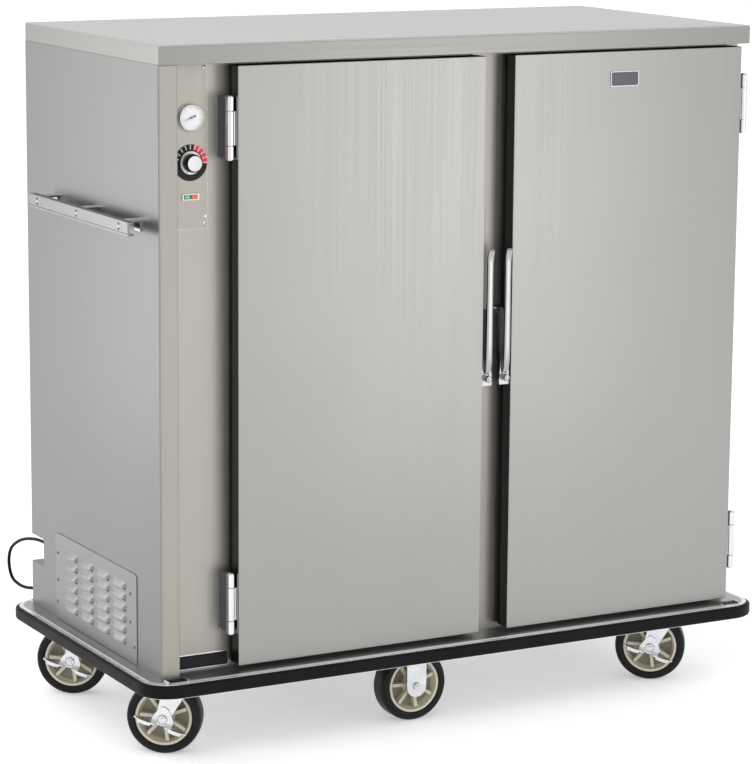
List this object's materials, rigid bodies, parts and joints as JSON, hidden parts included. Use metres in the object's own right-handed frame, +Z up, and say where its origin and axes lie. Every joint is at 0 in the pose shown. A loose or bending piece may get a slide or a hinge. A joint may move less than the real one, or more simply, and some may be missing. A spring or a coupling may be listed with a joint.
{
  "type": "proofing cabinet",
  "caption": "Heated two-door proofing cabinet on casters, with a control column, lever latches, interior shelving and a rubber bumper rail.",
  "frame": {"origin": "on the floor under the middle of the bumper rail", "axes": "+X to the right along the front, +Y from the doors to the back, +Z up"},
  "size_m": [1.448, 0.9129, 1.43],
  "materials": {
    "steel": "horizontally brushed stainless",
    "steel_door": "fine vertical grain",
    "aluminium": "satin extruded",
    "chrome": "polished",
    "zinc": "bright zinc plate",
    "black_rubber": "matt",
    "tyre": "satin",
    "hub_cream": "moulded",
    "wool": "mineral wool",
    "black_plastic": "matt",
    "needle": "black",
    "switch": "translucent",
    "element": "oxidised",
    "cord": "matt",
    "frame_steel": "grey"
  },
  "bodies": {
    "cabinet": {"base_frame": "frame_steel", "base_deck": "aluminium", "bumper": "black_rubber", "bumper_channel": "aluminium", "side_panel_left": "steel", "side_panel_right": "steel", "back_panel": "steel", "top_lid": "steel", "control_column": "steel", "front_frame": "steel", "inner_liner": "steel", "insulation": "wool", "shelving": "chrome", "water_pan": "steel", "blower_motor": "frame_steel", "heater_element": "element", "control_plate": "steel", "thermometer_case": "chrome", "thermostat_dial": "black_plastic", "vent_panel": "steel", "push_handle": "aluminium", "fasteners": "zinc", "hinge_leaves": "chrome", "caster_mounts": "zinc", "strain_relief": "black_plastic", "power_cord": "cord", "cord_coil": "cord", "power_plug": "black_plastic"},
    "door_left": {"door_left_pan": "steel_door", "door_left_gasket": "black_rubber", "door_left_hardware": "chrome"},
    "door_right": {"door_right_pan": "steel_door", "door_right_gasket": "black_rubber", "door_right_hardware": "chrome"},
    "latch_left": {"latch_lever_left": "chrome"},
    "latch_right": {"latch_lever_right": "chrome"},
    "knob": {"thermostat_knob": "black_plastic"},
    "pointer": {"thermometer_needle": "needle"},
    "rocker": {"switch_rocker": "switch"},
    "blower": {"blower_wheel": "zinc"},
    "swivel_front_left": {"fork_front_left": "zinc"},
    "pedal_front_left": {"brake_front_left": "zinc"},
    "wheel_front_left": {"hub_front_left": "hub_cream", "tyre_front_left": "tyre"},
    "swivel_front_right": {"fork_front_right": "zinc"},
    "pedal_front_right": {"brake_front_right": "zinc"},
    "wheel_front_right": {"hub_front_right": "hub_cream", "tyre_front_right": "tyre"},
    "swivel_back_left": {"fork_back_left": "zinc"},
    "pedal_back_left": {"brake_back_left": "zinc"},
    "wheel_back_left": {"hub_back_left": "hub_cream", "tyre_back_left": "tyre"},
    "swivel_back_right": {"fork_back_right": "zinc"},
    "pedal_back_right": {"brake_back_right": "zinc"},
    "wheel_back_right": {"hub_back_right": "hub_cream", "tyre_back_right": "tyre"},
    "wheel_front_middle": {"hub_front_middle": "hub_cream", "tyre_front_middle": "tyre"},
    "wheel_back_middle": {"hub_back_middle": "hub_cream", "tyre_back_middle": "tyre"}
  },
  "joints": [
    {"name": "door_left_swing", "type": "hinge", "parent": "cabinet", "child": "door_left", "pos_m": [-0.5265, -0.324, 0.79], "axis": [0, 0, -1], "range_deg": [0, 165]},
    {"name": "door_right_swing", "type": "hinge", "parent": "cabinet", "child": "door_right", "pos_m": [0.6735, -0.324, 0.79], "axis": [0, 0, 1], "range_deg": [0, 165]},
    {"name": "latch_left_lift", "type": "hinge", "parent": "door_left", "child": "latch_left", "pos_m": [0.0525, -0.318, 0.728], "axis": [1, 0, 0], "range_deg": [0, 55]},
    {"name": "latch_right_lift", "type": "hinge", "parent": "door_right", "child": "latch_right", "pos_m": [0.0945, -0.318, 0.728], "axis": [1, 0, 0], "range_deg": [0, 55]},
    {"name": "thermostat_turn", "type": "hinge", "parent": "cabinet", "child": "knob", "pos_m": [-0.5944, -0.2995, 1.199], "axis": [0, 1, 0], "range_deg": [0, 270]},
    {"name": "pointer_turn", "type": "hinge", "parent": "cabinet", "child": "pointer", "pos_m": [-0.5944, -0.2945, 1.286], "axis": [0, 1, 0], "range_deg": [0, 230]},
    {"name": "switch_rock", "type": "hinge", "parent": "cabinet", "child": "rocker", "pos_m": [-0.5944, -0.2835, 1.1325], "axis": [0, 0, 1], "range_deg": [-7, 7]},
    {"name": "blower_spin", "type": "hinge", "parent": "cabinet", "child": "blower", "pos_m": [-0.56, 0.06, 0.47], "axis": [1, 0, 0], "continuous": true},
    {"name": "swivel_turn_front_left", "type": "hinge", "parent": "cabinet", "child": "swivel_front_left", "pos_m": [-0.583, -0.236, 0.165], "axis": [0, 0, 1], "continuous": true},
    {"name": "brake_tip_front_left", "type": "hinge", "parent": "swivel_front_left", "child": "pedal_front_left", "pos_m": [-0.61822, -0.21134, 0.076], "axis": [0.5736, 0.8192, 0], "range_deg": [-36, 0]},
    {"name": "wheel_roll_front_left", "type": "hinge", "parent": "swivel_front_left", "child": "wheel_front_left", "pos_m": [-0.61822, -0.21134, 0.076], "axis": [0.5736, 0.8192, 0], "continuous": true},
    {"name": "swivel_turn_front_right", "type": "hinge", "parent": "cabinet", "child": "swivel_front_right", "pos_m": [0.583, -0.236, 0.165], "axis": [0, 0, 1], "continuous": true},
    {"name": "brake_tip_front_right", "type": "hinge", "parent": "swivel_front_right", "child": "pedal_front_right", "pos_m": [0.54778, -0.21134, 0.076], "axis": [0.5736, 0.8192, 0], "range_deg": [-36, 0]},
    {"name": "wheel_roll_front_right", "type": "hinge", "parent": "swivel_front_right", "child": "wheel_front_right", "pos_m": [0.54778, -0.21134, 0.076], "axis": [0.5736, 0.8192, 0], "continuous": true},
    {"name": "swivel_turn_back_left", "type": "hinge", "parent": "cabinet", "child": "swivel_back_left", "pos_m": [-0.583, 0.236, 0.165], "axis": [0, 0, 1], "continuous": true},
    {"name": "brake_tip_back_left", "type": "hinge", "parent": "swivel_back_left", "child": "pedal_back_left", "pos_m": [-0.61822, 0.26066, 0.076], "axis": [0.5736, 0.8192, 0], "range_deg": [-36, 0]},
    {"name": "wheel_roll_back_left", "type": "hinge", "parent": "swivel_back_left", "child": "wheel_back_left", "pos_m": [-0.61822, 0.26066, 0.076], "axis": [0.5736, 0.8192, 0], "continuous": true},
    {"name": "swivel_turn_back_right", "type": "hinge", "parent": "cabinet", "child": "swivel_back_right", "pos_m": [0.583, 0.236, 0.165], "axis": [0, 0, 1], "continuous": true},
    {"name": "brake_tip_back_right", "type": "hinge", "parent": "swivel_back_right", "child": "pedal_back_right", "pos_m": [0.54778, 0.26066, 0.076], "axis": [0.5736, 0.8192, 0], "range_deg": [-36, 0]},
    {"name": "wheel_roll_back_right", "type": "hinge", "parent": "swivel_back_right", "child": "wheel_back_right", "pos_m": [0.54778, 0.26066, 0.076], "axis": [0.5736, 0.8192, 0], "continuous": true},
    {"name": "wheel_roll_front_middle", "type": "hinge", "parent": "cabinet", "child": "wheel_front_middle", "pos_m": [-0.07, -0.236, 0.076], "axis": [0, 1, 0], "continuous": true},
    {"name": "wheel_roll_back_middle", "type": "hinge", "parent": "cabinet", "child": "wheel_back_middle", "pos_m": [-0.07, 0.236, 0.076], "axis": [0, 1, 0], "continuous": true}
  ]
}
